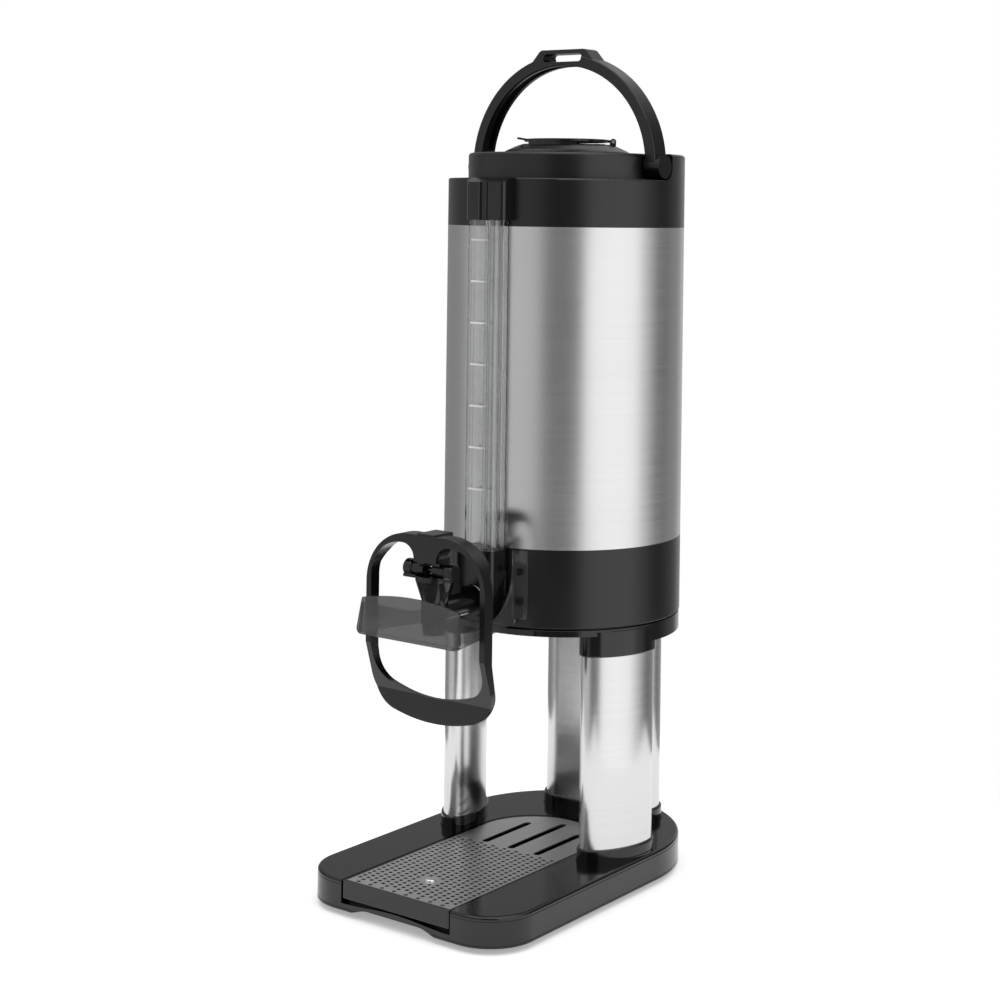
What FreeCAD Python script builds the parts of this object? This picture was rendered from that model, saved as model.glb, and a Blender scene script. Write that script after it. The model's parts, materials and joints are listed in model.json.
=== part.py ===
"""Gravity beverage server on a three-column stand, in millimetres.

Front is -Y, up is +Z. The origin is the centre of the base's footprint, on the counter.
"""
import FreeCAD, Part
import math
import os

V = FreeCAD.Vector

# ---- driving dimensions ------------------------------------------------------------------
BODY_R = 102.0            # outside radius of the insulated body
BASE_HALF_W = 104.0       # half width of the base, and radius of its round rear end
BASE_FRONT_Y = -160.0
BODY_Y = 55.0             # the body's axis, and the centre of the base's round end
BASE_CORNER_R = 40.0
FOOT_H = 5.0
BASE_TOP = 29.0
WALL = 3.0                # plastic wall thickness
FIT = 0.3                 # gap between bodies that slide past each other
PIN_FIT = 0.05            # radial gap of a hinge pin in its hole

FOOT_XY = [(-70, -108), (70, -108), (-58, 118), (58, 118)]
SCREW_XY = [(-86, -92), (86, -92), (-83, 102), (83, 102)]

TRAY_HALF_W = 54.5
TRAY_GAP = 1.2            # gap between the tray and the sides of its pocket
TRAY_FLOOR = 13.8
LIP_END_Z = 10.5          # top of the base's lip under the tray, at the tray's sides
ARCH_RISE = 4.2           # height of the finger arch under the lip
ARCH_LEFT = (-50.0, -28.0)
ARCH_RIGHT = (24.0, 45.0)
TRAY_ROUND_Y = 21.0       # centre of the tray's round rear end
GRID_T = 1.2
GRID_TOP = 28.6
HOLE_STEP_X = 6.125       # gap between columns of drain holes
HOLE_STEP_Y = 5.64        # gap between the holes of one column
HOLE_COLUMNS = 8          # columns on each side of the middle one
HOLE_R = 1.75
HOLE_ROWS_REAR_Y = -20.0
STUD_Y = BODY_Y - 172.0   # the stud that lifts the grid out
SLOT_X = (-25.0, 2.0, 29.0)
SLOT_HALF_W = 3.2
NUT_Z = 8.0               # underside of the tie rods' lower nuts
NUT_H = 3.0

FRONT_LEG_RING_R = 85.3   # radius from the body axis to a front column's centre
FRONT_LEG_ANGLE = -20.2   # its direction, in degrees from +X
FRONT_LEG_A = 35.0        # half length and half depth of the elliptical front column
FRONT_LEG_B = 15.75
REAR_LEG_X = 32.0         # half distance between the rear column's end centres
REAR_LEG_Y = BODY_Y + 66.3
REAR_LEG_R = 24.0
LEG_WALL = 1.2
SOCKET_H = 10.0
CAP_GROW = 1.8            # wall thickness of the caps on top of the columns
CAP_BOTTOM = 196.5
PLATE_BOTTOM = 214.0
PLATE_TOP = 219.5
SKIRT_BOTTOM = 205.0      # the plate's skirt, round its rear part only
SKIRT_FRONT_Y = BODY_Y - 12.0
BODY_SCREW_R = 62.0
BODY_SCREW_ANGLES = (-90, 30, 150)

BAND_BOTTOM = 220.5
SHELL_BOTTOM = 285.0
COLLAR_BOTTOM = 548.0
SHELF_Z = 588.0           # the collar's front shelf, where the folded handle lies
COLLAR_TOP = 610.0
DRUM_R = 85.0
MOUTH_R = 54.6
SHEET = 0.8               # steel sheet of the vacuum vessel
LINER_R = 93.5            # inside radius: 34.4 mm of height holds one US quart

HANDLE_Z = 599.0
HANDLE_R_IN = 87.0
HANDLE_R_OUT = 97.0
HANDLE_HALF_W = 9.5
HANDLE_BOSS_R = 10.0
HANDLE_PIN_R = 4.0

GAUGE_HALF_W = 19.5
BRACKET_HALF_W = 21.0
BRACKET_BOTTOM = 553.0
SHIELD_X = (-21.0, 15.5)
SHIELD_DEPTH = 6.0        # from the body's front to the shield's flat front
TUBE_X = 6.0
TUBE_Y = BODY_Y - 108.3
TUBE_R = 5.0

SHANK_Z = 243.0
SHANK_R = 9.5
PIN_Y = BODY_Y - 175.5    # the faucet lever's pin
PIN_Z = 275.5
VALVE_Y = BODY_Y - 170.5  # the valve stem, behind the pin so that the lever lifts it
PIN_R = 2.0
STEM_R = 3.0
SEAT_Z = 246.0
SEAT_R = 5.5
CHAMBER_R = 8.2
FAUCET_R = 10.5
NOZZLE_R = 9.0
NOZZLE_BOTTOM = 224.0
NOZZLE_TOP = 232.0
BONNET_R = 16.0
BONNET_Z = 268.5          # joint between the faucet's body and its bonnet
EAR_X = (16.3, 24.7)      # the bonnet's two ears, which hold the lever's pin
EAR_R = 7.0
KNUCKLE_R = 5.8
SPRING_COILS = 4
SPRING_CHORDS = 10        # straight lengths in one coil
SPRING_R = 4.6
WIRE_R = 0.6

LEVER_HALF_W = 61.0
LEVER_ARM_T = 5.0
LEVER_TOP = 303.5
LEVER_BOTTOM = 153.0
PADDLE_H = 20.0
LEVER_HUB_HALF_W = 11.5
LEVER_SHOULDER_Z = 262.0  # the loop's window ends here, and the two arches start

VISOR_Y = BODY_Y - 202.0
VISOR_BOTTOM = 223.0
VISOR_HALF_W = 49.5       # at the top edge
VISOR_FLARE = 2.9         # how much wider each side is at the bottom
VISOR_LEAN = 3.3          # how much further forward the bottom is
VISOR_TOP = 252.0
GUARD_ROOT_X = 25.5
GUARD_T = 2.5
GUARD_SCREW_Z = (243, 267)

LID_TAB_ANGLE = 217.0     # direction of the flip cover's tab, in degrees from +X
LID_COVER_R = 37.0
LID_COVER_Z = 620.5
FUNNEL_R = 12.0


# ---- helpers -----------------------------------------------------------------------------
def box(x0, x1, y0, y1, z0, z1):
    return Part.makeBox(x1 - x0, y1 - y0, z1 - z0, V(x0, y0, z0))


def disc(radius, z0, z1, x=0.0, y=BODY_Y):
    return Part.makeCylinder(radius, z1 - z0, V(x, y, z0), V(0, 0, 1))


def tube(outer, inner, z0, z1, x=0.0, y=BODY_Y):
    return disc(outer, z0, z1, x, y).cut(disc(inner, z0 - 1, z1 + 1, x, y))


def rod_x(radius, x0, x1, y, z):
    return Part.makeCylinder(radius, x1 - x0, V(x0, y, z), V(1, 0, 0))


def rod_y(radius, y0, y1, x, z):
    return Part.makeCylinder(radius, y1 - y0, V(x, y0, z), V(0, 1, 0))


def prism(points, lift):
    """Closed polygon extruded along the vector lift."""
    wire = Part.makePolygon([V(*p) for p in points] + [V(*points[0])])
    return Part.Face(wire).extrude(V(*lift))


def revolve(profile, x=0.0, y=BODY_Y):
    """Closed (radius, z) profile turned about a vertical axis."""
    wire = Part.makePolygon([V(x + r, y, z) for r, z in profile + profile[:1]])
    return Part.Face(wire).revolve(V(x, y, 0), V(0, 0, 1), 360)


def fuse(first, *rest):
    return first.multiFuse(list(rest)).removeSplitter() if rest else first


def round_edges(shape, radius, wanted):
    """Fillet the edges for which wanted(edge) is true."""
    return shape.makeFillet(radius, [edge for edge in shape.Edges if wanted(edge)])


def at_height(z):
    return lambda edge: edge.BoundBox.ZLength < 1e-3 and abs(edge.BoundBox.ZMin - z) < 1e-3


def turn(shape, degrees, centre=V(0, BODY_Y, 0), axis=V(0, 0, 1)):
    turned = shape.copy()
    turned.rotate(centre, axis, degrees)
    return turned


def save(name, shape):
    shape.exportStep("parts/%s.step" % name)


# ---- base --------------------------------------------------------------------------------
def base_prism(inset, z0, z1):
    """The base's outline, moved in by inset: a half circle behind, two corners in front."""
    w = BASE_HALF_W - inset
    front = BASE_FRONT_Y + inset
    r = BASE_CORNER_R - inset
    k = r * (1 - math.sqrt(0.5))
    edges = [
        Part.Arc(V(w, BODY_Y, z0), V(0, BODY_Y + w, z0), V(-w, BODY_Y, z0)).toShape(),
        Part.makeLine(V(-w, BODY_Y, z0), V(-w, front + r, z0)),
        Part.Arc(V(-w, front + r, z0), V(-w + k, front + k, z0), V(-w + r, front, z0)).toShape(),
        Part.makeLine(V(-w + r, front, z0), V(w - r, front, z0)),
        Part.Arc(V(w - r, front, z0), V(w - k, front + k, z0), V(w, front + r, z0)).toShape(),
        Part.makeLine(V(w, front + r, z0), V(w, BODY_Y, z0)),
    ]
    return Part.Face(Part.Wire(edges)).extrude(V(0, 0, z1 - z0))


def tray_prism(half_w, front_y, z0, z1):
    """The drip tray's outline: straight sides and a round rear end."""
    straight = box(-half_w, half_w, front_y, TRAY_ROUND_Y, z0, z1)
    return straight.fuse(disc(half_w, z0, z1, 0, TRAY_ROUND_Y)).removeSplitter()


def front_leg_centre(side):
    angle = math.radians(FRONT_LEG_ANGLE)
    return (side * FRONT_LEG_RING_R * math.cos(angle), BODY_Y + FRONT_LEG_RING_R * math.sin(angle))


def rod_xy():
    front = [front_leg_centre(side) for side in (-1, 1)]
    return front + [(-REAR_LEG_X, REAR_LEG_Y), (REAR_LEG_X, REAR_LEG_Y)]


def s_curve(start, end, steps=8):
    """Points of a soft step from one (x, z) point to another."""
    (x0, z0), (x1, z1) = start, end
    return [(x0 + (x1 - x0) * i / steps, z0 + (z1 - z0) * (1 - math.cos(math.pi * i / steps)) / 2)
            for i in range(steps + 1)]


def finger_arch():
    """The low arch under the middle of the front edge."""
    low, high = FOOT_H - 0.6, FOOT_H + ARCH_RISE
    points = [(ARCH_LEFT[0], low - 2)] + s_curve((ARCH_LEFT[0], low), (ARCH_LEFT[1], high))
    points += s_curve((ARCH_RIGHT[0], high), (ARCH_RIGHT[1], low)) + [(ARCH_RIGHT[1], low - 2)]
    return prism([(x, BASE_FRONT_Y - 1, z) for x, z in points], (0, 13, 0))


def lip_relief(half_w, pocket_z):
    """What is cut off the lip's top, so that it is bowed under the tray."""
    points = [(-half_w, pocket_z + 1)] + s_curve((-half_w, LIP_END_Z), (0, pocket_z - 0.1), 10)
    points += s_curve((0, pocket_z - 0.1), (half_w, LIP_END_Z), 10)[1:] + [(half_w, pocket_z + 1)]
    return prism([(x, BASE_FRONT_Y - 1, z) for x, z in points], (0, 6, 0))


def make_base():
    shell = base_prism(0, FOOT_H, BASE_TOP)
    shell = round_edges(shell, 2.5, at_height(BASE_TOP))
    cavity = base_prism(WALL, FOOT_H - 1, BASE_TOP - WALL)
    pocket_z = TRAY_FLOOR - FIT
    pocket_w = TRAY_HALF_W + TRAY_GAP
    keep = tray_prism(pocket_w + WALL, BASE_FRONT_Y, pocket_z - WALL, BASE_TOP)
    cavity = cavity.cut(keep).cut(box(-70, 70, BASE_FRONT_Y, BASE_FRONT_Y + 16, 0, pocket_z))
    shell = shell.cut(cavity)
    bosses = [disc(8, NUT_Z + NUT_H + 0.2, BASE_TOP - 1, x, y) for x, y in rod_xy()]
    bosses += [disc(4, FOOT_H + 2, BASE_TOP - 1, x, y) for x, y in SCREW_XY]
    shell = fuse(shell, *bosses)
    shell = shell.cut(tray_prism(pocket_w, BASE_FRONT_Y - 5, pocket_z, BASE_TOP + 5))
    shell = shell.cut(finger_arch()).cut(lip_relief(pocket_w, pocket_z))
    for z in (FOOT_H + 1.5, BASE_TOP - 4.0):
        shell = shell.cut(base_prism(-1, z, z + 0.5).cut(base_prism(0.4, z - 1, z + 1)))
    for x, y in rod_xy():
        shell = shell.cut(disc(3.2, 0, BASE_TOP + 5, x, y))
    for x, y in SCREW_XY:
        shell = shell.cut(disc(1.5, 0, FOOT_H + 12.5, x, y))
    save("base_housing", shell)

    plate = base_prism(WALL + 0.2, FOOT_H, FOOT_H + 2).cut(
        box(-70.2, 70.2, BASE_FRONT_Y, BASE_FRONT_Y + 16.2, 0, 10))
    for x, y in FOOT_XY:
        plate = plate.cut(disc(3, 0, 10, x, y))
    for x, y in SCREW_XY:
        plate = plate.cut(disc(1.6, 0, 10, x, y))
    save("base_bottom_plate", plate)

    feet = [disc(8, 0, FOOT_H, x, y).fuse(disc(3, FOOT_H, FOOT_H + 3.5, x, y)) for x, y in FOOT_XY]
    save("rubber_feet", Part.Compound([foot.removeSplitter() for foot in feet]))
    screws = [disc(3.2, FOOT_H - 1.3, FOOT_H, x, y).fuse(disc(1.5, FOOT_H, FOOT_H + 12, x, y))
              for x, y in SCREW_XY]
    save("base_screws", Part.Compound([screw.removeSplitter() for screw in screws]))


def make_tray():
    tray = tray_prism(TRAY_HALF_W, BASE_FRONT_Y, TRAY_FLOOR, BASE_TOP - 0.2)
    front = lambda edge: (abs(edge.BoundBox.YMin - BASE_FRONT_Y) < 1e-3 and edge.BoundBox.YLength < 1e-3
                          and edge.BoundBox.ZMin < TRAY_FLOOR + 1e-3 and edge.BoundBox.ZLength < 1e-3)
    tray = round_edges(tray, 2.0, front)
    sides = lambda edge: (abs(edge.BoundBox.YMin - BASE_FRONT_Y) < 3 and edge.BoundBox.YLength > 50
                          and edge.BoundBox.ZMax < TRAY_FLOOR + 1e-3)
    tray = round_edges(tray, 1.5, sides)
    rim = 1.4
    ledge_z = GRID_TOP - GRID_T - 0.2
    tray = tray.cut(tray_prism(TRAY_HALF_W - rim, BASE_FRONT_Y + 3.2, ledge_z, BASE_TOP + 1))
    tray = tray.cut(tray_prism(TRAY_HALF_W - 4, BASE_FRONT_Y + 7, TRAY_FLOOR + 2, BASE_TOP + 1))
    save("drip_tray", tray)


def hole_centres():
    """Staggered columns of drain holes, inside the grid's rim and clear of the lift stud."""
    for column in range(-HOLE_COLUMNS, HOLE_COLUMNS + 1):
        x = column * HOLE_STEP_X
        y = BASE_FRONT_Y + 6.4 + (0.0 if column % 2 else 1.5 * HOLE_STEP_Y)
        while y < HOLE_ROWS_REAR_Y:
            if math.hypot(x, y - STUD_Y) > 7.5:
                yield x, y
            y += HOLE_STEP_Y


def make_grid():
    gap = 0.3
    half_w = TRAY_HALF_W - 1.4 - gap
    grid = tray_prism(half_w, BASE_FRONT_Y + 3.2 + gap, GRID_TOP - GRID_T, GRID_TOP)
    cuts = [disc(HOLE_R, GRID_TOP - 3, GRID_TOP + 3, x, y) for x, y in hole_centres()]
    for x, rear in zip(SLOT_X, (44.0, 59.0, 44.0)):
        cuts.append(box(x - SLOT_HALF_W, x + SLOT_HALF_W, -14.0, rear, GRID_TOP - 3, GRID_TOP + 3))
        cuts += [disc(SLOT_HALF_W, GRID_TOP - 3, GRID_TOP + 3, x, y) for y in (-14.0, rear)]
    cuts.append(disc(2.0, GRID_TOP - 3, GRID_TOP + 3, 0, STUD_Y))
    save("drip_grid", grid.cut(Part.Compound(cuts)))
    stud = disc(2.0, GRID_TOP - 2.4, GRID_TOP, 0, STUD_Y)
    stud = fuse(stud, disc(4.6, GRID_TOP, GRID_TOP + 1.6, 0, STUD_Y),
                disc(3.4, GRID_TOP - 3.6, GRID_TOP - 2.4 + 1.2, 0, STUD_Y))
    save("grid_lift_stud", round_edges(stud, 1.2, at_height(GRID_TOP + 1.6)))


# ---- columns -----------------------------------------------------------------------------
def front_leg_prism(side, grow, z0, z1):
    """Elliptical section, long way round the body, turned to its place on the base."""
    ellipse = Part.Ellipse(V(0, 0, 0), FRONT_LEG_A + grow, FRONT_LEG_B + grow).toShape()
    solid = Part.Face(Part.Wire([ellipse])).extrude(V(0, 0, z1 - z0))
    solid.rotate(V(0, 0, 0), V(0, 0, 1), side * (90 + FRONT_LEG_ANGLE))
    solid.translate(V(*front_leg_centre(side), z0))
    return solid


def rear_leg_prism(grow, z0, z1):
    r = REAR_LEG_R + grow
    ends = [disc(r, z0, z1, x, REAR_LEG_Y) for x in (-REAR_LEG_X, REAR_LEG_X)]
    middle = box(-REAR_LEG_X, REAR_LEG_X, REAR_LEG_Y - r, REAR_LEG_Y + r, z0, z1)
    return fuse(middle, *ends)


COLUMNS = {
    "left": lambda grow, z0, z1: front_leg_prism(-1, grow, z0, z1),
    "right": lambda grow, z0, z1: front_leg_prism(1, grow, z0, z1),
    "rear": rear_leg_prism,
}


def make_columns():
    for name, column in COLUMNS.items():
        leg = column(0, BASE_TOP, PLATE_BOTTOM).cut(column(-LEG_WALL, BASE_TOP - 1, PLATE_BOTTOM + 1))
        save("leg_%s" % name, leg)
        socket = column(2, BASE_TOP, BASE_TOP + SOCKET_H)
        socket = round_edges(socket, 1.2, at_height(BASE_TOP + SOCKET_H))
        socket = fuse(socket, column(2.8, BASE_TOP, BASE_TOP + 1.4))
        save("leg_socket_%s" % name, socket.cut(column(0, BASE_TOP - 1, BASE_TOP + 20)))
        cap = round_edges(column(CAP_GROW, CAP_BOTTOM, PLATE_BOTTOM + 3.5), 1.2, at_height(CAP_BOTTOM))
        cap = cap.cut(column(0, CAP_BOTTOM - 1, PLATE_BOTTOM))
        for x, y in rod_xy():
            cap = cap.cut(disc(3.2, CAP_BOTTOM, PLATE_TOP + 5, x, y))
        save("leg_cap_%s" % name, cap)
    rods = [disc(3, NUT_Z, PLATE_BOTTOM + 5.3, x, y) for x, y in rod_xy()]
    save("tie_rods", Part.Compound(rods))


def hex_nut(x, y, z0, z1, across, hole):
    r = across / math.sqrt(3)
    points = [(x + r * math.cos(math.pi * i / 3), y + r * math.sin(math.pi * i / 3), z0) for i in range(6)]
    return prism(points, (0, 0, z1 - z0)).cut(disc(hole, z0 - 1, z1 + 1, x, y))


def body_screw_xy():
    return [(BODY_SCREW_R * math.cos(math.radians(a)), BODY_Y + BODY_SCREW_R * math.sin(math.radians(a)))
            for a in BODY_SCREW_ANGLES]


def make_plate():
    plate = disc(BODY_R - 1.5, PLATE_BOTTOM, PLATE_TOP - 2)
    rim = round_edges(disc(BODY_R - 0.5, PLATE_TOP - 2, PLATE_TOP), 0.8, at_height(PLATE_TOP))
    skirt = tube(BODY_R - 0.5, BODY_R - 4, SKIRT_BOTTOM, PLATE_TOP - 2)
    skirt = skirt.cut(box(-200, 200, BODY_Y - 200, SKIRT_FRONT_Y, 100, 300))
    plate = fuse(plate, rim, skirt, disc(BODY_R - 4, PLATE_TOP, BAND_BOTTOM))
    for column in COLUMNS.values():
        plate = plate.cut(column(CAP_GROW, CAP_BOTTOM, PLATE_BOTTOM + 3.5))
    for x, y in rod_xy():
        plate = plate.cut(disc(3.2, 0, 300, x, y)).cut(disc(6.5, PLATE_BOTTOM + 3.7, 300, x, y))
    for x, y in body_screw_xy():
        plate = plate.cut(disc(2.1, 0, 300, x, y))
    save("stand_top_plate", plate)
    nuts = [hex_nut(x, y, NUT_Z, NUT_Z + NUT_H, 10, 3) for x, y in rod_xy()]
    nuts += [hex_nut(x, y, PLATE_BOTTOM + 3.7, PLATE_BOTTOM + 5.7, 10, 3) for x, y in rod_xy()]
    save("tie_rod_nuts", Part.Compound(nuts))
    screws = [disc(4, PLATE_BOTTOM - 2.2, PLATE_BOTTOM, x, y).fuse(disc(2, PLATE_BOTTOM, 231, x, y))
              for x, y in body_screw_xy()]
    save("body_screws", Part.Compound([screw.removeSplitter() for screw in screws]))


# ---- insulated body ----------------------------------------------------------------------
def guard_screws():
    """Two screws in each of the splash guard's flanges, pointing at the body's axis."""
    screws = []
    for side in (-1, 1):
        angle = -90 + side * math.degrees(math.asin((GUARD_ROOT_X + 4.5) / BODY_R))
        for z in GUARD_SCREW_Z:
            head = Part.makeCylinder(3.0, 1.6, V(BODY_R + 2.2, BODY_Y, z), V(1, 0, 0))
            shaft = Part.makeCylinder(1.4, 8.0, V(BODY_R - 5.8, BODY_Y, z), V(1, 0, 0))
            screws.append(turn(head.fuse(shaft).removeSplitter(), angle))
    return Part.Compound(screws)


def bracket_screws():
    wall_y = BODY_Y - BODY_R
    return Part.Compound([rod_y(1.6, wall_y - 4, wall_y + 5.5, 14, z) for z in (558, 576)])


def make_band():
    band = disc(BODY_R, BAND_BOTTOM, SHELL_BOTTOM)
    band = round_edges(band, 1.2, at_height(BAND_BOTTOM))
    band = band.cut(disc(BODY_R - WALL, BAND_BOTTOM + WALL, SHELL_BOTTOM + 1))
    spigot = tube(BODY_R - SHEET - 0.2, BODY_R - WALL, SHELL_BOTTOM - 4, SHELL_BOTTOM + 1)
    bosses = [disc(5, BAND_BOTTOM + 1, 234, x, y) for x, y in body_screw_xy()]
    band = fuse(band, spigot, *bosses)
    for x, y in body_screw_xy():
        band = band.cut(disc(2, 0, 231, x, y))
    band = band.cut(rod_y(SHANK_R, BODY_Y - 120, BODY_Y - 80, 0, SHANK_Z)).cut(guard_screws())
    save("lower_band", band)


def make_vessel():
    top, neck = COLLAR_BOTTOM, 49.6
    r = BODY_R
    shell = revolve([(r, SHELL_BOTTOM), (r, top), (r - 4, top), (r - 9, top + 8), (61, 580), (neck, 580),
                     (neck, 579.2), (60.6, 579.2), (r - 9.6, top + 7.4), (r - 4.5, top - SHEET),
                     (r - SHEET, top - SHEET), (r - SHEET, SHELL_BOTTOM)])
    save("outer_shell", shell)
    r = BODY_R - SHEET
    base = revolve([(r, 286.2), (r, 293), (r - SHEET, 293), (r - SHEET, 287), (8.2, 287), (8.2, 286.2)])
    save("vacuum_base", base)
    r = LINER_R
    t = SHEET
    joint = 530
    liner = revolve([(r + t, 302), (r + t, joint), (r, joint), (r, 302.5), (80, 296.8), (7, 293.8), (7, 262),
                     (8, 262), (8, 293), (80, 296)])
    save("inner_liner", liner)
    neck = revolve([(r + t, joint), (r + t, 540), (88, 550), (56, 571), (48.8, 571), (48.8, 590), (54, 590),
                    (54, 590.8), (48, 590.8), (48, 570.2), (55.7, 570.2), (87.3, 549.4), (r, 539.6),
                    (r, joint)])
    save("liner_neck", neck)
    save("liner_spacer", tube(50, 30, 287, 293.8).cut(revolve([(8, 293), (80, 296), (80, 310), (8, 310)])))


def pivot_x(side, x0, x1):
    return (x0, x1) if side > 0 else (-x1, -x0)


def make_collar():
    z0, z1 = COLLAR_BOTTOM, COLLAR_TOP
    rear = disc(BODY_R, SHELF_Z - 2, z1).cut(box(-200, 200, BODY_Y - 200, BODY_Y, 500, 700))
    for side in (-1, 1):
        xa, xb = pivot_x(side, DRUM_R + 0.4, BODY_R + 5)
        rear = rear.cut(rod_x(11.5, xa, xb, BODY_Y, HANDLE_Z))
        rear = rear.cut(box(xa, xb, BODY_Y - 1, BODY_Y + 11.5, HANDLE_Z, z1 + 5))
    lower = round_edges(disc(BODY_R, z0, SHELF_Z), 1.5, at_height(SHELF_Z))
    collar = fuse(lower, disc(DRUM_R, SHELF_Z - 2, z1), rear)
    collar = round_edges(collar, 3.0, lambda edge: at_height(z1)(edge) and edge.BoundBox.YLength > 20)
    inside = disc(BODY_R - WALL - 0.5, z0 - 1, SHELF_Z - WALL)
    inside = inside.fuse(disc(DRUM_R - WALL - 0.5, SHELF_Z - WALL - 1, z1 - WALL))
    collar = collar.cut(inside).cut(disc(MOUTH_R, SHELF_Z, z1 + 5))
    neck = tube(MOUTH_R + WALL, MOUTH_R, 588, z1 - WALL + 0.5)
    collar = fuse(collar, neck)
    for side in (-1, 1):
        xa, xb = pivot_x(side, DRUM_R - 10, DRUM_R + 2)
        collar = collar.cut(rod_x(HANDLE_PIN_R, xa, xb, BODY_Y, HANDLE_Z))
    save("upper_collar", collar.cut(bracket_screws()))
    save("neck_gasket", tube(57.4, 50.0, 580, 588))


def make_handle():
    c = V(0, BODY_Y, HANDLE_Z)
    width = 2 * HANDLE_HALF_W
    y0 = BODY_Y - HANDLE_HALF_W

    def ring(outer, inner, y, depth):
        body = Part.makeCylinder(outer, depth, V(0, y, c.z), V(0, 1, 0))
        return body.cut(Part.makeCylinder(inner, depth + 2, V(0, y - 1, c.z), V(0, 1, 0)))

    bail = ring(HANDLE_R_OUT, HANDLE_R_IN, y0, width)
    bail = round_edges(bail, 1.6, lambda edge: edge.BoundBox.ZLength > 50 and edge.BoundBox.YLength < 1e-3)
    bail = bail.cut(box(-200, 200, BODY_Y - 50, BODY_Y + 50, 400, HANDLE_Z))
    groove = ring(HANDLE_R_IN + 2.5, HANDLE_R_IN - 1, BODY_Y - 4.5, 9)
    groove = groove.cut(box(-200, 200, BODY_Y - 50, BODY_Y + 50, 400, HANDLE_Z + 16))
    block = box(-22, 22, y0 + 0.8, y0 + width - 0.8, HANDLE_Z + 86, HANDLE_Z + 101)
    sides = prism([(-22, y0 + 0.8, HANDLE_Z + 101), (-24.5, y0 + 0.8, HANDLE_Z + 100),
                   (-32, y0 + 0.8, HANDLE_Z + 91.5), (-22, y0 + 0.8, HANDLE_Z + 88)], (0, width - 1.6, 0))
    mirrored = sides.mirror(V(0, 0, 0), V(1, 0, 0))
    block = fuse(block, sides, mirrored)
    block = block.cut(Part.makeCylinder(HANDLE_R_IN, width + 2, V(0, y0 - 1, c.z), V(0, 1, 0)))
    slot = box(-20, 20, y0 - 1, y0 + width + 1, HANDLE_Z + 90.5, HANDLE_Z + 97.5)
    slot = round_edges(slot, 3.0, lambda edge: edge.BoundBox.YLength > 5)
    bosses = []
    for side in (-1, 1):
        xa, xb = pivot_x(side, DRUM_R + 1.0, BODY_R - 0.5)
        bosses.append(rod_x(HANDLE_BOSS_R, xa, xb, BODY_Y, HANDLE_Z))
    bail = fuse(bail, block, *bosses).cut(groove).cut(slot)
    for side in (-1, 1):
        xa, xb = pivot_x(side, DRUM_R - 5, BODY_R - 3.0)
        bail = bail.cut(rod_x(HANDLE_PIN_R + PIN_FIT, xa, xb, BODY_Y, HANDLE_Z))
    save("bail_handle", bail)
    for side, name in ((-1, "left"), (1, "right")):
        xa, xb = pivot_x(side, DRUM_R - WALL - 1.0, BODY_R - 4.0)
        pin = rod_x(HANDLE_PIN_R, xa, xb, BODY_Y, HANDLE_Z)
        ha, hb = pivot_x(side, DRUM_R - WALL - 3.0, DRUM_R - WALL - 0.8)
        pin = pin.fuse(rod_x(6.0, ha, hb, BODY_Y, HANDLE_Z))
        save("handle_pin_%s" % name, pin.removeSplitter())


# ---- lid ---------------------------------------------------------------------------------
def lid_direction(length):
    angle = math.radians(LID_TAB_ANGLE)
    return length * math.cos(angle), BODY_Y + length * math.sin(angle)


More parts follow.
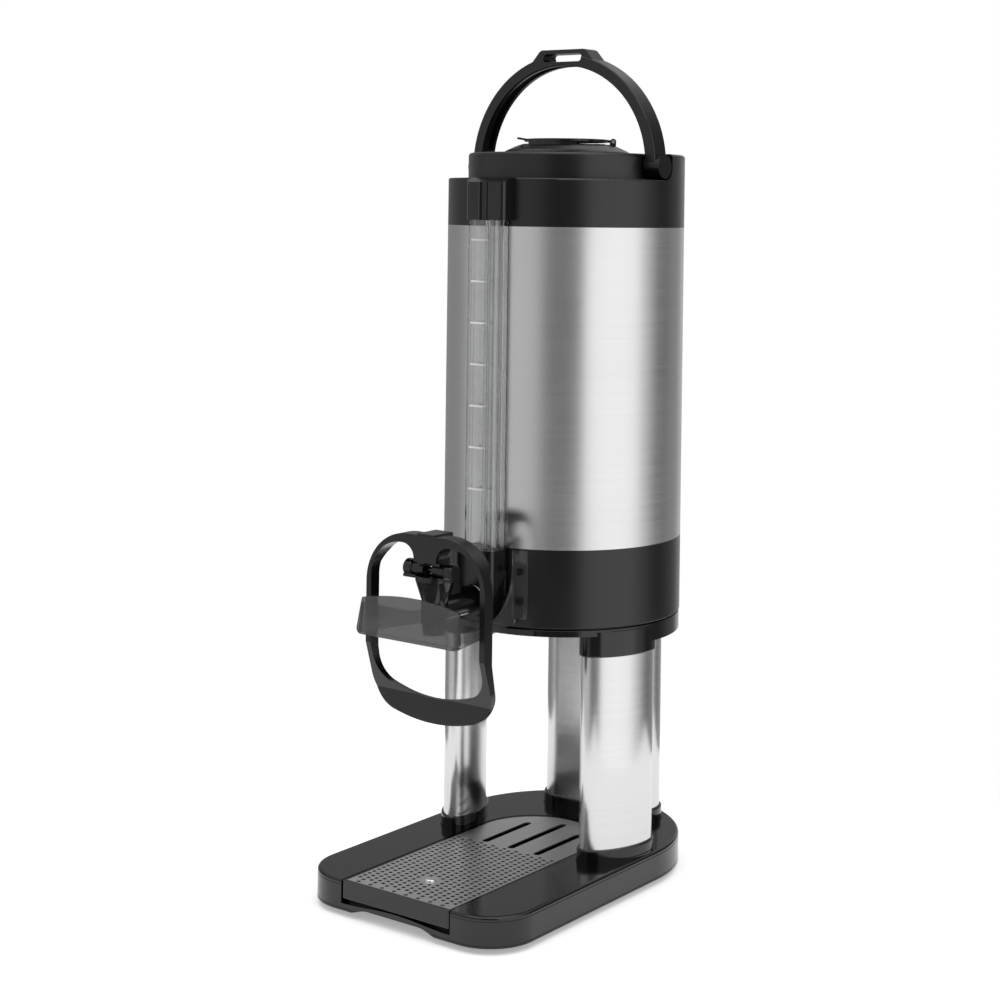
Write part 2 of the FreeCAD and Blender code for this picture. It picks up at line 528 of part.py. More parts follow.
def make_lid():
    r = MOUTH_R - 0.4
    body = revolve([(r - 3, 594), (r, 596), (r, 611.5), (r - 2.5, 613), (44, 616.5), (39, 618.2),
                    (FUNNEL_R + 1, 618.2), (FUNNEL_R + 1, 600), (r - 6, 600), (r - 6, 594)])
    grips = []
    for tilt in (65, 245):
        grip = tube(41, 33, 616, 620.0).cut(tube(38.5, 35.5, 616, 620.6))
        wedge = prism([(0, BODY_Y, 600), (80, BODY_Y - 46, 600), (80, BODY_Y + 46, 600)], (0, 0, 50))
        grips.append(turn(grip.common(wedge), LID_TAB_ANGLE + tilt))
    body = fuse(body, *[grip.Solids[0] for grip in grips], *[grip.Solids[1] for grip in grips])
    hinge = lid_direction(-LID_COVER_R - 2.5)
    lugs = []
    for offset in (-9.5, 6.5):
        lug = box(-2.4, 2.4, offset, offset + 3, 616, LID_COVER_Z + 0.6)
        lug = lug.fuse(rod_y(2.6, offset, offset + 3, 0, LID_COVER_Z + 0.6)).removeSplitter()
        lug.rotate(V(0, 0, 0), V(0, 0, 1), LID_TAB_ANGLE)
        lug.translate(V(hinge[0], hinge[1], 0))
        lugs.append(lug)
    body = fuse(body, *lugs).cut(lid_hinge_rod(1.5, 12))
    save("lid_body", body)
    save("lid_gasket", tube(r - 0.2, r - 5.8, 591.2, 593.8))
    pin = lid_hinge_rod(1.5, 9.5)
    save("lid_hinge_pin", pin)
    cover = round_edges(disc(LID_COVER_R, LID_COVER_Z, LID_COVER_Z + 2.2), 0.8, at_height(LID_COVER_Z + 2.2))
    tab = prism([(LID_COVER_R - 5, BODY_Y - 7, 0), (LID_COVER_R + 6.5, BODY_Y - 4, 0),
                 (LID_COVER_R + 6.5, BODY_Y + 4, 0), (LID_COVER_R - 5, BODY_Y + 7, 0)], (0, 0, 1.6))
    tab.rotate(V(LID_COVER_R - 5, BODY_Y, 0), V(0, 1, 0), -9)
    tab.translate(V(0, 0, LID_COVER_Z + 0.3))
    knuckle = box(-LID_COVER_R - 2.5, -LID_COVER_R + 4, BODY_Y - 6, BODY_Y + 6, LID_COVER_Z, LID_COVER_Z + 2)
    cover = fuse(cover, turn(tab, LID_TAB_ANGLE), turn(knuckle, LID_TAB_ANGLE), lid_hinge_rod(2.6, 6))
    plug = disc(FUNNEL_R - 0.4, 616.5, LID_COVER_Z)
    cover = fuse(cover, plug).cut(lid_hinge_rod(1.5 + PIN_FIT, 12))
    save("lid_flip_cover", cover)
    funnel = revolve([(FUNNEL_R + 1, 598.5), (6, 588), (6, 330), (5, 330), (5, 588.5), (FUNNEL_R, 599),
                      (FUNNEL_R, 616), (FUNNEL_R + 1, 616)])
    save("brew_funnel", funnel)


def lid_hinge_rod(radius, half_length):
    rod = Part.makeCylinder(radius, 2 * half_length, V(-LID_COVER_R - 2.5, -half_length, 0), V(0, 1, 0))
    rod.rotate(V(0, 0, 0), V(0, 0, 1), LID_TAB_ANGLE)
    rod.translate(V(0, BODY_Y, LID_COVER_Z + 0.6))
    return rod


# ---- sight gauge -------------------------------------------------------------------------
def rounded_block(half_w, depth, z0, z1, left_r, right_r):
    """A block on the body's front, hollowed to sit on its round wall."""
    front = BODY_Y - BODY_R - depth
    block = box(-half_w, half_w, front, BODY_Y - BODY_R + 6, z0, z1)
    for side, radius in ((-1, left_r), (1, right_r)):
        block = round_edges(block, radius, lambda edge: (
            edge.BoundBox.ZLength > 5 and abs(edge.BoundBox.YMin - front) < 1e-3
            and abs(edge.BoundBox.XMin - side * half_w) < 1e-3))
    return block.cut(disc(BODY_R, z0 - 1, z1 + 1))


def make_gauge():
    depth = 14.5
    top = rounded_block(BRACKET_HALF_W, depth, BRACKET_BOTTOM, SHELF_Z, 9.0, 4.0)
    slope = prism([(-30, BODY_Y - BODY_R, SHELF_Z + 0.2), (-30, BODY_Y - BODY_R - 20, 582.5),
                   (-30, BODY_Y - BODY_R - 20, 600), (-30, BODY_Y - BODY_R, 600)], (60, 0, 0))
    flute = disc(6.0, 500, 600, 0.5, BODY_Y - BODY_R - depth - 3.6)
    top = top.cut(slope).cut(flute).cut(disc(TUBE_R + 0.2, 500, 562, TUBE_X, TUBE_Y))
    save("gauge_top_bracket", top.cut(bracket_screws()))
    low = rounded_block(GAUGE_HALF_W, 22.0, 227, SHELL_BOTTOM - 0.2, 4.0, 4.0)
    low = low.cut(rod_y(SHANK_R, BODY_Y - 140, BODY_Y - 90, 0, SHANK_Z))
    low = low.cut(disc(TUBE_R + 0.2, 268, 300, TUBE_X, TUBE_Y))
    save("gauge_lower_housing", low)
    save("gauge_tube", tube(TUBE_R, TUBE_R - 1.4, 270, 560, TUBE_X, TUBE_Y))
    save("gauge_seal_upper", tube(TUBE_R + 0.2, TUBE_R - 1.2, 560, 562, TUBE_X, TUBE_Y))
    save("gauge_seal_lower", tube(TUBE_R + 0.2, TUBE_R - 1.2, 268, 270, TUBE_X, TUBE_Y))
    z0, z1 = SHELL_BOTTOM + 0.2, BRACKET_BOTTOM - 0.2
    sheet = 1.2
    front = BODY_Y - BODY_R - SHIELD_DEPTH
    bulge_r = TUBE_R + 2.5
    xa, xb = SHIELD_X
    cover = box(xa, xb, front, front + sheet, z0, z1)
    sides = [box(x, x + sheet, front, BODY_Y - BODY_R + 3, z0, z1) for x in (xa, xb - sheet)]
    bulge = disc(bulge_r, z0, z1, TUBE_X, TUBE_Y).cut(box(-50, 50, front + sheet, 50, z0 - 1, z1 + 1))
    shield = fuse(cover, *sides, bulge).cut(disc(bulge_r - sheet, z0 - 1, z1 + 1, TUBE_X, TUBE_Y))
    shield = shield.cut(disc(BODY_R + 0.1, z0 - 1, z1 + 1))
    save("gauge_shield", shield)
    scale_y = front + sheet + 0.2
    save("gauge_scale", box(xa + 2.5, TUBE_X - bulge_r - 0.5, scale_y, scale_y + 0.8, z0, z1))
    save("bracket_screws", bracket_screws())


# ---- faucet ------------------------------------------------------------------------------
def make_faucet():
    y = VALVE_Y
    shank = rod_y(SHANK_R, y, BODY_Y - 84, 0, SHANK_Z)
    flange = rod_y(13.5, BODY_Y - 128, BODY_Y - 125.5, 0, SHANK_Z)
    cone = Part.makeCone(FAUCET_R, BONNET_R, BONNET_Z - 251.5, V(0, y, 250), V(0, 0, 1))
    web = prism([(-2, y + 9, 250), (-2, y + 13, 266), (-2, BODY_Y - 127, 254), (-2, BODY_Y - 127, 250)],
                (4, 0, 0))
    body = fuse(shank, flange, cone, web, disc(FAUCET_R, NOZZLE_TOP, 250, 0, y),
                disc(NOZZLE_R, NOZZLE_BOTTOM, NOZZLE_TOP, 0, y),
                disc(BONNET_R, BONNET_Z - 1.5, BONNET_Z, 0, y))
    body = body.cut(disc(CHAMBER_R, SEAT_Z, 275, 0, y)).cut(disc(SEAT_R, 220, SEAT_Z + 1, 0, y))
    bore = rod_y(5.0, y, BODY_Y - 80, 0, SHANK_Z + 1).cut(disc(SEAT_R + 1.5, 200, SEAT_Z - 1, 0, y))
    body = body.cut(bore)
    save("faucet_body", body)
    save("faucet_gasket", tube_y(13.0, SHANK_R, BODY_Y - 125.5, BODY_Y - 124))
    nut = [(14 * math.cos(math.pi * i / 3), BODY_Y - 97.5, SHANK_Z + 14 * math.sin(math.pi * i / 3))
           for i in range(6)]
    nut = prism(nut, (0, 6, 0)).cut(rod_y(SHANK_R, BODY_Y - 110, BODY_Y - 80, 0, SHANK_Z))
    save("faucet_nut", nut)
    ear_in, ear_out = EAR_X
    cap = disc(BONNET_R, BONNET_Z, BONNET_Z + 2.5, 0, y)
    bridge = box(-ear_out, ear_out, PIN_Y - 5.5, PIN_Y + 5.5, BONNET_Z, BONNET_Z + 2.5)
    ears = [rod_x(EAR_R, *pivot_x(side, ear_in, ear_out), PIN_Y, PIN_Z) for side in (-1, 1)]
    ears = [round_edges(ear, 1.5, lambda edge: edge.BoundBox.XLength < 1e-3) for ear in ears]
    cap = fuse(cap, bridge, *ears).cut(rod_x(PIN_R, -30, 30, PIN_Y, PIN_Z))
    cap = cap.cut(disc(STEM_R + PIN_FIT, 250, 290, 0, y))
    cap = cap.cut(rod_x(KNUCKLE_R + 0.5, -ear_in, ear_in, PIN_Y, PIN_Z))
    save("faucet_bonnet", cap)
    save("lever_pin", rod_x(PIN_R, -ear_out, ear_out, PIN_Y, PIN_Z))
    stem = fuse(disc(STEM_R, SEAT_Z + 6, PIN_Z + 2.4, 0, y), rod_x(1.5, -10, 10, y, PIN_Z),
                disc(6.0, SEAT_Z + 4, SEAT_Z + 6, 0, y), disc(2.0, SEAT_Z + 2, SEAT_Z + 4, 0, y))
    save("valve_stem", stem.cut(rod_x(PIN_R + 0.4, -3, 3, PIN_Y, PIN_Z)))
    cup = disc(CHAMBER_R - 1.0, SEAT_Z, SEAT_Z + 4, 0, y).cut(disc(2.0, SEAT_Z + 2, SEAT_Z + 5, 0, y))
    save("seat_cup", cup)
    save("valve_spring", coil_spring(SEAT_Z + 6 + WIRE_R, BONNET_Z - WIRE_R, y))


def coil_spring(low, high, y):
    """A coil of straight wire lengths, with a ball at each bend."""
    count = SPRING_COILS * SPRING_CHORDS
    bends = []
    for i in range(count + 1):
        angle = 2 * math.pi * i / SPRING_CHORDS
        bends.append(V(SPRING_R * math.cos(angle), y + SPRING_R * math.sin(angle),
                       low + (high - low) * i / count))
    wires = [Part.makeCylinder(WIRE_R, (b - a).Length, a, b - a) for a, b in zip(bends, bends[1:])]
    balls = [Part.makeSphere(WIRE_R, bend) for bend in bends]
    return wires[0].multiFuse(wires[1:] + balls)


def tube_y(outer, inner, y0, y1):
    return rod_y(outer, y0, y1, 0, SHANK_Z).cut(rod_y(inner, y0 - 1, y1 + 1, 0, SHANK_Z))


def make_outlet():
    end_y = BODY_Y - 84
    pipe = fuse(disc(8, SHANK_Z, 262), Part.makeSphere(8, V(0, BODY_Y, SHANK_Z)),
                rod_y(8, end_y, BODY_Y, 0, SHANK_Z))
    pipe = pipe.cut(disc(6.5, SHANK_Z, 263)).cut(rod_y(6.5, end_y - 1, BODY_Y, 0, SHANK_Z))
    save("outlet_pipe", pipe)
    save("outlet_seal", tube(11, 8, 254, 274))


def loop_outline(half_w, z0, z1, low_r, floor_r, high_r, depth):
    """A frame outline in the X-Z plane with a bowed floor, extruded through the lever's depth."""
    y = PIN_Y - depth
    x_low = half_w - low_r
    reach = floor_r - low_r
    z_low = z0 + floor_r - math.sqrt(reach ** 2 - x_low ** 2)
    bend = math.asin(x_low / reach)
    middle = (bend + math.pi / 2) / 2
    x_end, z_end = floor_r * math.sin(bend), z0 + floor_r * (1 - math.cos(bend))
    x_mid, z_mid = x_low + low_r * math.sin(middle), z_low - low_r * math.cos(middle)
    x_high, z_high = half_w - high_r, z1 - high_r
    k = high_r * math.sqrt(0.5)
    edges = [Part.Arc(V(-x_end, y, z_end), V(0, y, z0), V(x_end, y, z_end)).toShape(),
             Part.makeLine(V(-x_high, y, z1), V(x_high, y, z1))]
    for side in (-1, 1):
        w = side * half_w
        edges += [
            Part.Arc(V(side * x_end, y, z_end), V(side * x_mid, y, z_mid), V(w, y, z_low)).toShape(),
            Part.makeLine(V(w, y, z_low), V(w, y, z_high)),
            Part.Arc(V(w, y, z_high), V(side * (x_high + k), y, z_high + k),
                     V(side * x_high, y, z1)).toShape(),
        ]
    wire = Part.Wire(Part.__sortEdges__(edges))
    return Part.Face(wire).extrude(V(0, 2 * depth, 0))


def on_top(edge):
    return edge.BoundBox.YLength > 5 and abs(edge.BoundBox.ZMin - (LEVER_TOP - 7.5)) < 1e-3


def make_lever():
    depth = 40.0
    inner_w = LEVER_HALF_W - LEVER_ARM_T
    shoulder, hub_w = LEVER_SHOULDER_Z, LEVER_HUB_HALF_W
    outer = loop_outline(LEVER_HALF_W, LEVER_BOTTOM, LEVER_TOP, 28, 150, 42, depth)
    outer = outer.cut(loop_outline(inner_w, LEVER_BOTTOM + PADDLE_H, shoulder, 22, 120, 0.5, depth))
    outer = outer.cut(box(-hub_w - 1, hub_w + 1, PIN_Y - depth, PIN_Y + depth, shoulder - 2, PIN_Z + 6.8))
    for side in (-1, 1):
        xa, xb = pivot_x(side, hub_w, inner_w)
        arch = box(xa, xb, PIN_Y - depth, PIN_Y + depth, shoulder - 2, LEVER_TOP - 7.5)
        outside = lambda edge: on_top(edge) and abs(edge.BoundBox.XMin - side * inner_w) < 1e-3
        inside = lambda edge: on_top(edge) and abs(edge.BoundBox.XMin - side * hub_w) < 1e-3
        outer = outer.cut(round_edges(round_edges(arch, 30, outside), 12, inside))
    y_front = PIN_Y - 8.5
    side_view = [(y_front, 320), (y_front, 212), (y_front + 12, 174), (y_front + 12, 140),
                 (y_front + 16, 140), (y_front + 16, 178), (y_front + 10, 208),
                 (y_front + 10, 276), (y_front + 14.5, 286), (y_front + 14.5, 320)]
    strap = prism([(-80, y, z) for y, z in side_view], (160, 0, 0))
    loop = outer.common(strap)
    cheeks = []
    for side in (-1, 1):
        xa, xb = pivot_x(side, 4.6, 11.4)
        cheeks += [box(xa, xb, PIN_Y - 4, PIN_Y + 9, PIN_Z, 286),
                   box(xa, xb, PIN_Y, PIN_Y + 9, PIN_Z - 3.4, PIN_Z),
                   rod_x(KNUCKLE_R, *pivot_x(side, 4.6, EAR_X[0] - 0.5), PIN_Y, PIN_Z)]
    pad = box(-9, 9, y_front + 1, y_front + 24, LEVER_TOP - 4, LEVER_TOP + 1.3)
    pad = round_edges(pad, 1.2, lambda edge: edge.BoundBox.ZMin > LEVER_TOP + 1.2)
    lever = fuse(loop, pad, *cheeks)
    lever = lever.cut(rod_x(PIN_R + PIN_FIT, -20, 20, PIN_Y, PIN_Z))
    lever = lever.cut(box(-12, 12, VALVE_Y - 2.2, VALVE_Y + 9, PIN_Z - 1.8, PIN_Z + 1.8))
    lever = lever.cut(box(-4.6, 4.6, VALVE_Y - 4.5, VALVE_Y + 20, PIN_Z - 5, PIN_Z + 5.5))
    save("faucet_lever", lever)


def make_visor():
    """The visor's front sheet, wider and further forward at its bottom."""
    low_w, corner, z0, y = VISOR_HALF_W + VISOR_FLARE, 5.0, VISOR_BOTTOM, VISOR_Y
    k = corner * (1 - math.sqrt(0.5))
    crown = VISOR_TOP + 5
    top = [V(-VISOR_HALF_W, y, VISOR_TOP), V(0, y, crown), V(VISOR_HALF_W, y, VISOR_TOP)]
    edges = [Part.Arc(*top).toShape(),
             Part.makeLine(V(-low_w + corner, y, z0), V(low_w - corner, y, z0))]
    for side in (-1, 1):
        w = side * low_w
        edges += [
            Part.makeLine(V(side * VISOR_HALF_W, y, VISOR_TOP), V(w, y, z0 + corner)),
            Part.Arc(V(w, y, z0 + corner), V(w - side * k, y, z0 + k),
                     V(w - side * corner, y, z0)).toShape(),
        ]
    sheet = Part.Face(Part.Wire(Part.__sortEdges__(edges))).extrude(V(0, GUARD_T, 0))
    lip = box(-low_w + 7, low_w - 7, y, y + 6, z0, z0 + 2)
    lean = math.degrees(math.atan2(VISOR_LEAN, VISOR_TOP - VISOR_BOTTOM))
    return turn(fuse(sheet, lip), -lean, V(0, y, VISOR_TOP), V(1, 0, 0))


def make_guard():
    """Splash guard: a visor across the front, two rails and two flanges on the band."""
    pieces = [make_visor()]
    root_y = BODY_Y - math.sqrt(BODY_R ** 2 - GUARD_ROOT_X ** 2)
    reach_x = VISOR_HALF_W + 0.5 * VISOR_FLARE - GUARD_ROOT_X
    reach_y = root_y - VISOR_Y
    run = math.hypot(reach_x, reach_y)
    angle = math.degrees(math.atan2(reach_x, reach_y))
    low, rail_r, rail_z = VISOR_BOTTOM + 1.0, 42.0, 234.0
    k = rail_r * (1 - math.sqrt(0.5))
    for side in (-1, 1):
        rail = Part.Wire([
            Part.makeLine(V(0, 3, low), V(0, -run - 1.0, low)),
            Part.makeLine(V(0, -run - 1.0, low), V(0, -run + 1.0, 248)),
            Part.makeLine(V(0, -run + 1.0, 248), V(0, -rail_r - 12, rail_z)),
            Part.makeLine(V(0, -rail_r - 12, rail_z), V(0, -rail_r, rail_z)),
            Part.Arc(V(0, -rail_r, rail_z), V(0, -k, rail_z + k), V(0, 0, rail_z + rail_r)).toShape(),
            Part.makeLine(V(0, 0, rail_z + rail_r), V(0, 0, 284)),
            Part.makeLine(V(0, 0, 284), V(0, 3, 284)),
            Part.makeLine(V(0, 3, 284), V(0, 3, low)),
        ])
        wall = Part.Face(rail).extrude(V(-side * GUARD_T, 0, 0))
        wall.rotate(V(0, 0, 0), V(0, 0, 1), side * angle)
        wall.translate(V(side * GUARD_ROOT_X, root_y, 0))
        pieces.append(wall)
        xa, xb = pivot_x(side, GUARD_ROOT_X - 2, GUARD_ROOT_X + 10)
        flange = tube(BODY_R + 2.2, BODY_R, 228, 284).common(box(xa, xb, BODY_Y - 120, BODY_Y, 200, 300))
        pieces.append(flange)
    guard = fuse(pieces[0], *pieces[1:]).cut(disc(BODY_R, 200, 300))
    guard = guard.cut(box(-GAUGE_HALF_W - 0.05, GAUGE_HALF_W + 0.05, BODY_Y - 124.2, BODY_Y, 200, 300))
    save("splash_guard", guard.cut(guard_screws()))
    save("guard_screws", guard_screws())


def main():
    os.makedirs("parts", exist_ok=True)
    make_base()
    make_tray()
    make_grid()
    make_columns()
    make_plate()
    make_band()
    make_vessel()
    make_collar()
    make_handle()
    make_lid()
    make_gauge()
    make_faucet()
    make_outlet()
    make_lever()
    make_guard()


main()
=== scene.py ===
"""Insulated gravity beverage server on its stand: detail pieces, materials, light and camera."""
import json
import math

import bmesh
import bpy
from mathutils import Matrix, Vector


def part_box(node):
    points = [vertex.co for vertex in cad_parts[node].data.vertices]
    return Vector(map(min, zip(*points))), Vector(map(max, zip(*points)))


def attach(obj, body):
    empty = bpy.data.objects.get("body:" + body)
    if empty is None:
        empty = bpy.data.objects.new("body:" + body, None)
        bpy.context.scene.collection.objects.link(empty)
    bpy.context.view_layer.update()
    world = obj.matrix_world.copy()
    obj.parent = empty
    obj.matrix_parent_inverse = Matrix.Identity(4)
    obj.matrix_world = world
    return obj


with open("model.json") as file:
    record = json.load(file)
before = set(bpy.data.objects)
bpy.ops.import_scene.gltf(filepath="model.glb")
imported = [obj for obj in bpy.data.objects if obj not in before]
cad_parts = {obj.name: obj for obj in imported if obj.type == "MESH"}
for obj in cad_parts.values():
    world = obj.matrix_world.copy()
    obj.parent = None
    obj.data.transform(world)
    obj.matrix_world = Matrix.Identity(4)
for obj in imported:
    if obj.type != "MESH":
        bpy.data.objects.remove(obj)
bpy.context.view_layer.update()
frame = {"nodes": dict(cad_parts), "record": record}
NODES = frame["nodes"]
MM = 0.001

# ---- sizes shared with the CAD, in metres --------------------------------------------------
BODY_Y = 0.055        # the vessel's axis, behind the middle of the base


# ---- materials -----------------------------------------------------------------------------
def new_material(name):
    """A material with its Principled shader, its output and the object's own coordinates."""
    mat = bpy.data.materials.new(name)
    mat.use_nodes = True
    tree = mat.node_tree
    shader = tree.nodes["Principled BSDF"]
    coords = tree.nodes.new("ShaderNodeTexCoord").outputs["Object"]
    return mat, tree, shader, coords


def scaled(tree, coords, scale):
    mapping = tree.nodes.new("ShaderNodeMapping")
    mapping.inputs["Scale"].default_value = scale
    tree.links.new(coords, mapping.inputs["Vector"])
    return mapping.outputs["Vector"]


def noise(tree, vector, scale, detail=3.0, roughness=0.55):
    node = tree.nodes.new("ShaderNodeTexNoise")
    node.inputs["Scale"].default_value = scale
    node.inputs["Detail"].default_value = detail
    node.inputs["Roughness"].default_value = roughness
    tree.links.new(vector, node.inputs["Vector"])
    return node.outputs["Fac"]


def spread(tree, value, low, high, from_low=0.3, from_high=0.7):
    """Maps a noise value onto the range low to high."""
    node = tree.nodes.new("ShaderNodeMapRange")
    node.inputs["From Min"].default_value = from_low
    node.inputs["From Max"].default_value = from_high
    node.inputs["To Min"].default_value = low
    node.inputs["To Max"].default_value = high
    tree.links.new(value, node.inputs["Value"])
    return node.outputs["Result"]


def ramp(tree, value, dark, light):
    node = tree.nodes.new("ShaderNodeValToRGB")
    node.color_ramp.elements[0].position = 0.3
    node.color_ramp.elements[1].position = 0.7
    node.color_ramp.elements[0].color = (*dark, 1)
    node.color_ramp.elements[1].color = (*light, 1)
    tree.links.new(value, node.inputs["Fac"])
    return node.outputs["Color"]


def bump(tree, value, shader, strength, distance):
    node = tree.nodes.new("ShaderNodeBump")
    node.inputs["Strength"].default_value = strength
    node.inputs["Distance"].default_value = distance
    tree.links.new(value, node.inputs["Height"])
    tree.links.new(node.outputs["Normal"], shader.inputs["Normal"])


def math_node(tree, operation, first, second=None):
    """A maths node on two values, each of which is a number or another node's output."""
    node = tree.nodes.new("ShaderNodeMath")
    node.operation = operation
    for socket, value in zip(node.inputs, (first, second)):
        if isinstance(value, (int, float)):
            socket.default_value = value
        elif value is not None:
            tree.links.new(value, socket)
    return node.outputs["Value"]


def grey(value):
    return (value, value, value)


def plastic(name, tone, rough, rough_spread, grain_scale, grain, coat=0.0):
    """Moulded plastic: fine grain, and a slow change of tone and gloss."""
    mat, tree, shader, coords = new_material(name)
    slow = noise(tree, coords, 14, 4)
    fine = noise(tree, coords, grain_scale, 2)
    tree.links.new(ramp(tree, slow, grey(tone * 0.85), grey(tone * 1.15)),
                   shader.inputs["Base Color"])
    tree.links.new(spread(tree, slow, rough - rough_spread, rough + rough_spread),
                   shader.inputs["Roughness"])
    shader.inputs["IOR"].default_value = 1.5
    shader.inputs["Coat Weight"].default_value = coat
    shader.inputs["Coat Roughness"].default_value = 0.06
    bump(tree, fine, shader, grain, 0.0002)
    return mat


def brushed(name, tone, rough, stretch, strength, anisotropy=0.0):
    """Brushed steel. stretch is the grain's scale along X, Y and Z: large is fine."""
    mat, tree, shader, coords = new_material(name)
    lines = noise(tree, scaled(tree, coords, stretch), 1.0, 5, 0.7)
    slow = noise(tree, coords, 9, 3)
    shader.inputs["Metallic"].default_value = 1.0
    tree.links.new(ramp(tree, lines, grey(tone * 0.94), grey(tone * 1.05)),
                   shader.inputs["Base Color"])
    rough_value = math_node(tree, "ADD", spread(tree, lines, rough - 0.03, rough + 0.03),
                            spread(tree, slow, -0.02, 0.02))
    tree.links.new(rough_value, shader.inputs["Roughness"])
    if anisotropy:
        around(tree, shader, anisotropy)
    bump(tree, lines, shader, strength, 0.0001)
    return mat


def around(tree, shader, anisotropy):
    """Stretches reflections up and down, as brushing round an upright surface does."""
    coords = next(node for node in tree.nodes if node.bl_idname == "ShaderNodeTexCoord")
    cross = tree.nodes.new("ShaderNodeVectorMath")
    cross.operation = "CROSS_PRODUCT"
    cross.inputs[0].default_value = (0, 0, 1)
    tree.links.new(coords.outputs["Normal"], cross.inputs[1])
    tree.links.new(cross.outputs["Vector"], shader.inputs["Tangent"])
    shader.inputs["Anisotropic"].default_value = anisotropy


def clear(name, tint, rough, ior=1.49, transmission=1.0):
    """Clear or smoked moulded plastic with faint waves in its surface."""
    mat, tree, shader, coords = new_material(name)
    waves = noise(tree, coords, 30, 2)
    tree.links.new(ramp(tree, waves, [c * 0.96 for c in tint], tint),
                   shader.inputs["Base Color"])
    tree.links.new(spread(tree, waves, rough * 0.7, rough * 1.3), shader.inputs["Roughness"])
    shader.inputs["Transmission Weight"].default_value = transmission
    shader.inputs["IOR"].default_value = ior
    bump(tree, waves, shader, 0.006, 0.001)
    return mat


CLEAR_TINT = (0.97, 0.975, 0.975)

MATERIALS = {
    "black_gloss": plastic("black_gloss", 0.002, 0.12, 0.03, 900, 0.01),
    "black_matte": plastic("black_matte", 0.002, 0.30, 0.03, 2600, 0.08),
    "black_satin": plastic("black_satin", 0.002, 0.24, 0.03, 2200, 0.07),
    "brushed_shell": brushed("brushed_shell", 0.62, 0.19, (3.0, 3.0, 2200.0), 0.015,
                             anisotropy=0.92),
    "inner_steel": brushed("inner_steel", 0.55, 0.22, (6.0, 6.0, 500.0), 0.05),
    "grid_steel": brushed("grid_steel", 0.58, 0.34, (1200.0, 8.0, 8.0), 0.04),
    "polished_steel": brushed("polished_steel", 0.75, 0.12, (40.0, 40.0, 40.0), 0.02),
    "zinc_hardware": brushed("zinc_hardware", 0.45, 0.30, (300.0, 300.0, 300.0), 0.05),
    "rubber_feet": plastic("rubber_feet", 0.010, 0.72, 0.05, 1500, 0.3),
    "silicone": plastic("silicone", 0.55, 0.5, 0.05, 1200, 0.1),
    "gauge_glass": clear("gauge_glass", CLEAR_TINT, 0.03, ior=1.47, transmission=0.92),
    "clear_plastic": clear("clear_plastic", CLEAR_TINT, 0.03),
    "smoked_plastic": clear("smoked_plastic", (0.30, 0.30, 0.305), 0.05, transmission=0.9),
    "printed_white": plastic("printed_white", 0.85, 0.4, 0.04, 1200, 0.05),
}

for part in frame["record"]["subparts"]:
    node = NODES[part["node"]]
    node.data.materials.clear()
    node.data.materials.append(MATERIALS[part["material_slot"]])


# ---- mesh helpers --------------------------------------------------------------------------
def piece(name, mesh_bm, material, body):
    """Turns a bmesh into a piece that rides on a body."""
    mesh = bpy.data.meshes.new(name)
    bmesh.ops.recalc_face_normals(mesh_bm, faces=mesh_bm.faces)
    mesh_bm.to_mesh(mesh)
    mesh_bm.free()
    obj = bpy.data.objects.new(name, mesh)
    bpy.context.scene.collection.objects.link(obj)
    obj.data.materials.append(MATERIALS[material])
    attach(obj, body)
    return obj


def smooth(obj):
    """Smooth faces, with edges over 35 degrees kept sharp."""
    mesh = obj.data
    mesh.polygons.foreach_set("use_smooth", [True] * len(mesh.polygons))
    mesh.set_sharp_from_angle(angle=math.radians(35))


def bevel(obj, width, segments):
    mod = obj.modifiers.new("edges", "BEVEL")
    mod.width = width
    mod.segments = segments
    mod.limit_method = "ANGLE"
    mod.angle_limit = math.radians(30)
    mod.harden_normals = False


BOX_FACES = ((0, 1, 3, 2), (4, 6, 7, 5), (0, 4, 5, 1), (2, 3, 7, 6), (0, 2, 6, 4), (1, 5, 7, 3))


def add_box(bm, x0, x1, y0, y1, z0, z1):
    corners = [bm.verts.new((x, y, z)) for x in (x0, x1) for y in (y0, y1) for z in (z0, z1)]
    for face in BOX_FACES:
        bm.faces.new([corners[i] for i in face])


for node in NODES.values():
    smooth(node)


# ---- gauge marks ---------------------------------------------------------------------------
MARK_COUNT = 7
MARK_FIRST_Z = 331 * MM
MARK_PITCH = 34.25 * MM
MARK_HALF_HEIGHT = 0.8 * MM
MARK_HALF_DEPTH = 0.1 * MM
MARK_AHEAD = 1.4 * MM        # from the front of the scale strip to the front of the shield
MARK_INSET_LEFT = 0.5 * MM
MARK_INSET_RIGHT = 1.0 * MM


def make_marks():
    """White printed lines on the front of the gauge shield, about one US quart apart."""
    low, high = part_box("gauge_scale")
    left, right = low.x + MARK_INSET_LEFT, high.x - MARK_INSET_RIGHT
    front = low.y - MARK_AHEAD
    bm = bmesh.new()
    for i in range(MARK_COUNT):
        z = MARK_FIRST_Z + MARK_PITCH * i
        add_box(bm, left, right, front - MARK_HALF_DEPTH, front + MARK_HALF_DEPTH,
                z - MARK_HALF_HEIGHT, z + MARK_HALF_HEIGHT)
    marks = piece("gauge_marks", bm, "printed_white", "stand")
    bevel(marks, 0.05 * MM, 1)


make_marks()


# ---- stage ---------------------------------------------------------------------------------
FLOOR_HALF = 0.44
FLOOR_Z = -0.0002        # just under the feet
FLOOR_GLOW = 0.32


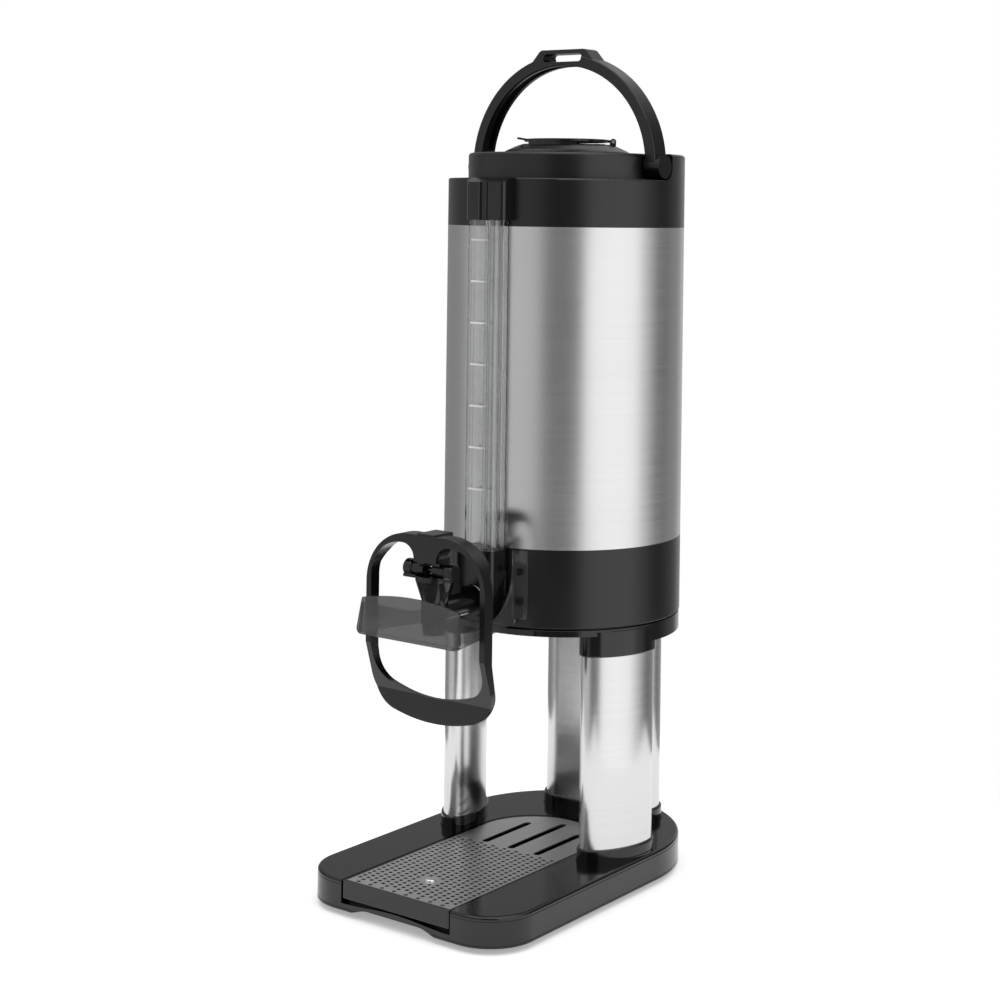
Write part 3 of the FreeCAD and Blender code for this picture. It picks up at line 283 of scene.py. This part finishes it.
def make_floor():
    """A small pale floor, close to the background's white."""
    bm = bmesh.new()
    corners = ((-1, -1), (1, -1), (1, 1), (-1, 1))
    bm.faces.new([bm.verts.new((x * FLOOR_HALF, y * FLOOR_HALF, FLOOR_Z)) for x, y in corners])
    mesh = bpy.data.meshes.new("floor")
    bm.to_mesh(mesh)
    bm.free()
    floor = bpy.data.objects.new("floor", mesh)
    bpy.context.scene.collection.objects.link(floor)
    mat, tree, shader, coords = new_material("pale_floor")
    tone = noise(tree, coords, 3, 2)
    tree.links.new(ramp(tree, tone, grey(0.90), grey(0.93)), shader.inputs["Base Color"])
    shader.inputs["Roughness"].default_value = 0.7
    shader.inputs["Specular IOR Level"].default_value = 0.0
    shader.inputs["Emission Color"].default_value = (1, 1, 1, 1)
    shader.inputs["Emission Strength"].default_value = FLOOR_GLOW
    floor.data.materials.append(mat)


# Light round the horizon: (degrees from +X towards +Y, radiance).
HORIZON = ((-180, 0.30), (-170, 0.32),
           (-158, 0.60), (-120, 0.70), (-82, 0.70),        # soft fill on the front left
           (-70, 0.20), (-39, 0.20),                       # dark round the camera: the shell's middle
           (-33, 1.40), (17, 1.40), (30, 0.70),            # the key, on the right
           (48, 0.17), (58, 0.17), (72, 0.30), (85, 0.32),
           (105, 0.75),                                    # a strip behind
           (126, 0.32), (180, 0.30))
HORIZON_PEAK = 1.4
OVERHEAD = 0.9


def make_world():
    """White to the camera. To the object it is a dark studio with soft upright strips of light."""
    world = bpy.data.worlds.new("studio")
    bpy.context.scene.world = world
    world.use_nodes = True
    tree = world.node_tree
    studio = tree.nodes["Background"]
    split = tree.nodes.new("ShaderNodeSeparateXYZ")
    direction = tree.nodes.new("ShaderNodeTexCoord").outputs["Generated"]
    tree.links.new(direction, split.inputs["Vector"])
    angle = math_node(tree, "ARCTAN2", split.outputs["Y"], split.outputs["X"])
    turn = math_node(tree, "ADD", math_node(tree, "DIVIDE", angle, 2 * math.pi), 0.5)
    strips = tree.nodes.new("ShaderNodeValToRGB")
    strips.color_ramp.interpolation = "EASE"
    stops = strips.color_ramp.elements
    while len(stops) < len(HORIZON):
        stops.new(0.5)
    for stop, (degrees, radiance) in zip(stops, HORIZON):
        stop.position = degrees / 360 + 0.5
        stop.color = (*grey(radiance / HORIZON_PEAK), 1)
    tree.links.new(turn, strips.inputs["Fac"])
    sides = math_node(tree, "MULTIPLY", strips.outputs["Color"], HORIZON_PEAK)
    rise = spread(tree, split.outputs["Z"], 0.0, 1.0, 0.45, 0.8)
    mix = tree.nodes.new("ShaderNodeMix")
    tree.links.new(rise, mix.inputs["Factor"])
    tree.links.new(sides, mix.inputs["A"])
    mix.inputs["B"].default_value = OVERHEAD
    tree.links.new(mix.outputs["Result"], studio.inputs["Strength"])
    white = tree.nodes.new("ShaderNodeBackground")
    white.inputs["Color"].default_value = (1, 1, 1, 1)
    choose = tree.nodes.new("ShaderNodeMixShader")
    camera_ray = tree.nodes.new("ShaderNodeLightPath").outputs["Is Camera Ray"]
    tree.links.new(camera_ray, choose.inputs["Fac"])
    tree.links.new(studio.outputs["Background"], choose.inputs[1])
    tree.links.new(white.outputs["Background"], choose.inputs[2])
    tree.links.new(choose.outputs["Shader"], tree.nodes["World Output"].inputs["Surface"])
    studio.inputs["Color"].default_value = (1, 1, 1, 1)


SUN_ENERGY = 0.9
SUN_SPREAD = math.radians(70)
SUN_TILT = (math.radians(8), math.radians(10), 0)


def make_sun():
    """A wide soft light from almost straight above."""
    light = bpy.data.lights.new("overhead", "SUN")
    light.energy = SUN_ENERGY
    light.angle = SUN_SPREAD
    obj = bpy.data.objects.new("overhead", light)
    obj.rotation_euler = SUN_TILT
    bpy.context.scene.collection.objects.link(obj)


CAMERA_TURN = math.radians(36)
CAMERA_ROLL = math.radians(0.75)
CAMERA_DISTANCE = 1.683
CAMERA_HEIGHT = 0.5665
CAMERA_LENS = 70.0
CAMERA_SHIFT = (-0.0664, -0.2955)


def make_camera():
    """A level camera in front and to the right, with its lens shifted down to the object."""
    cam = bpy.data.cameras.new("camera")
    cam.sensor_width = 36
    cam.lens = CAMERA_LENS
    cam.shift_x, cam.shift_y = CAMERA_SHIFT
    obj = bpy.data.objects.new("camera", cam)
    bpy.context.scene.collection.objects.link(obj)
    obj.location = (CAMERA_DISTANCE * math.sin(CAMERA_TURN),
                    BODY_Y - CAMERA_DISTANCE * math.cos(CAMERA_TURN), CAMERA_HEIGHT)
    turn = Matrix.Rotation(CAMERA_TURN, 3, "Z") @ Matrix.Rotation(math.pi / 2, 3, "X")
    obj.rotation_mode = "QUATERNION"
    obj.rotation_quaternion = (turn @ Matrix.Rotation(CAMERA_ROLL, 3, "Z")).to_quaternion()
    bpy.context.scene.camera = obj


make_floor()
make_world()
make_sun()
make_camera()
bpy.context.scene.view_settings.view_transform = "Standard"
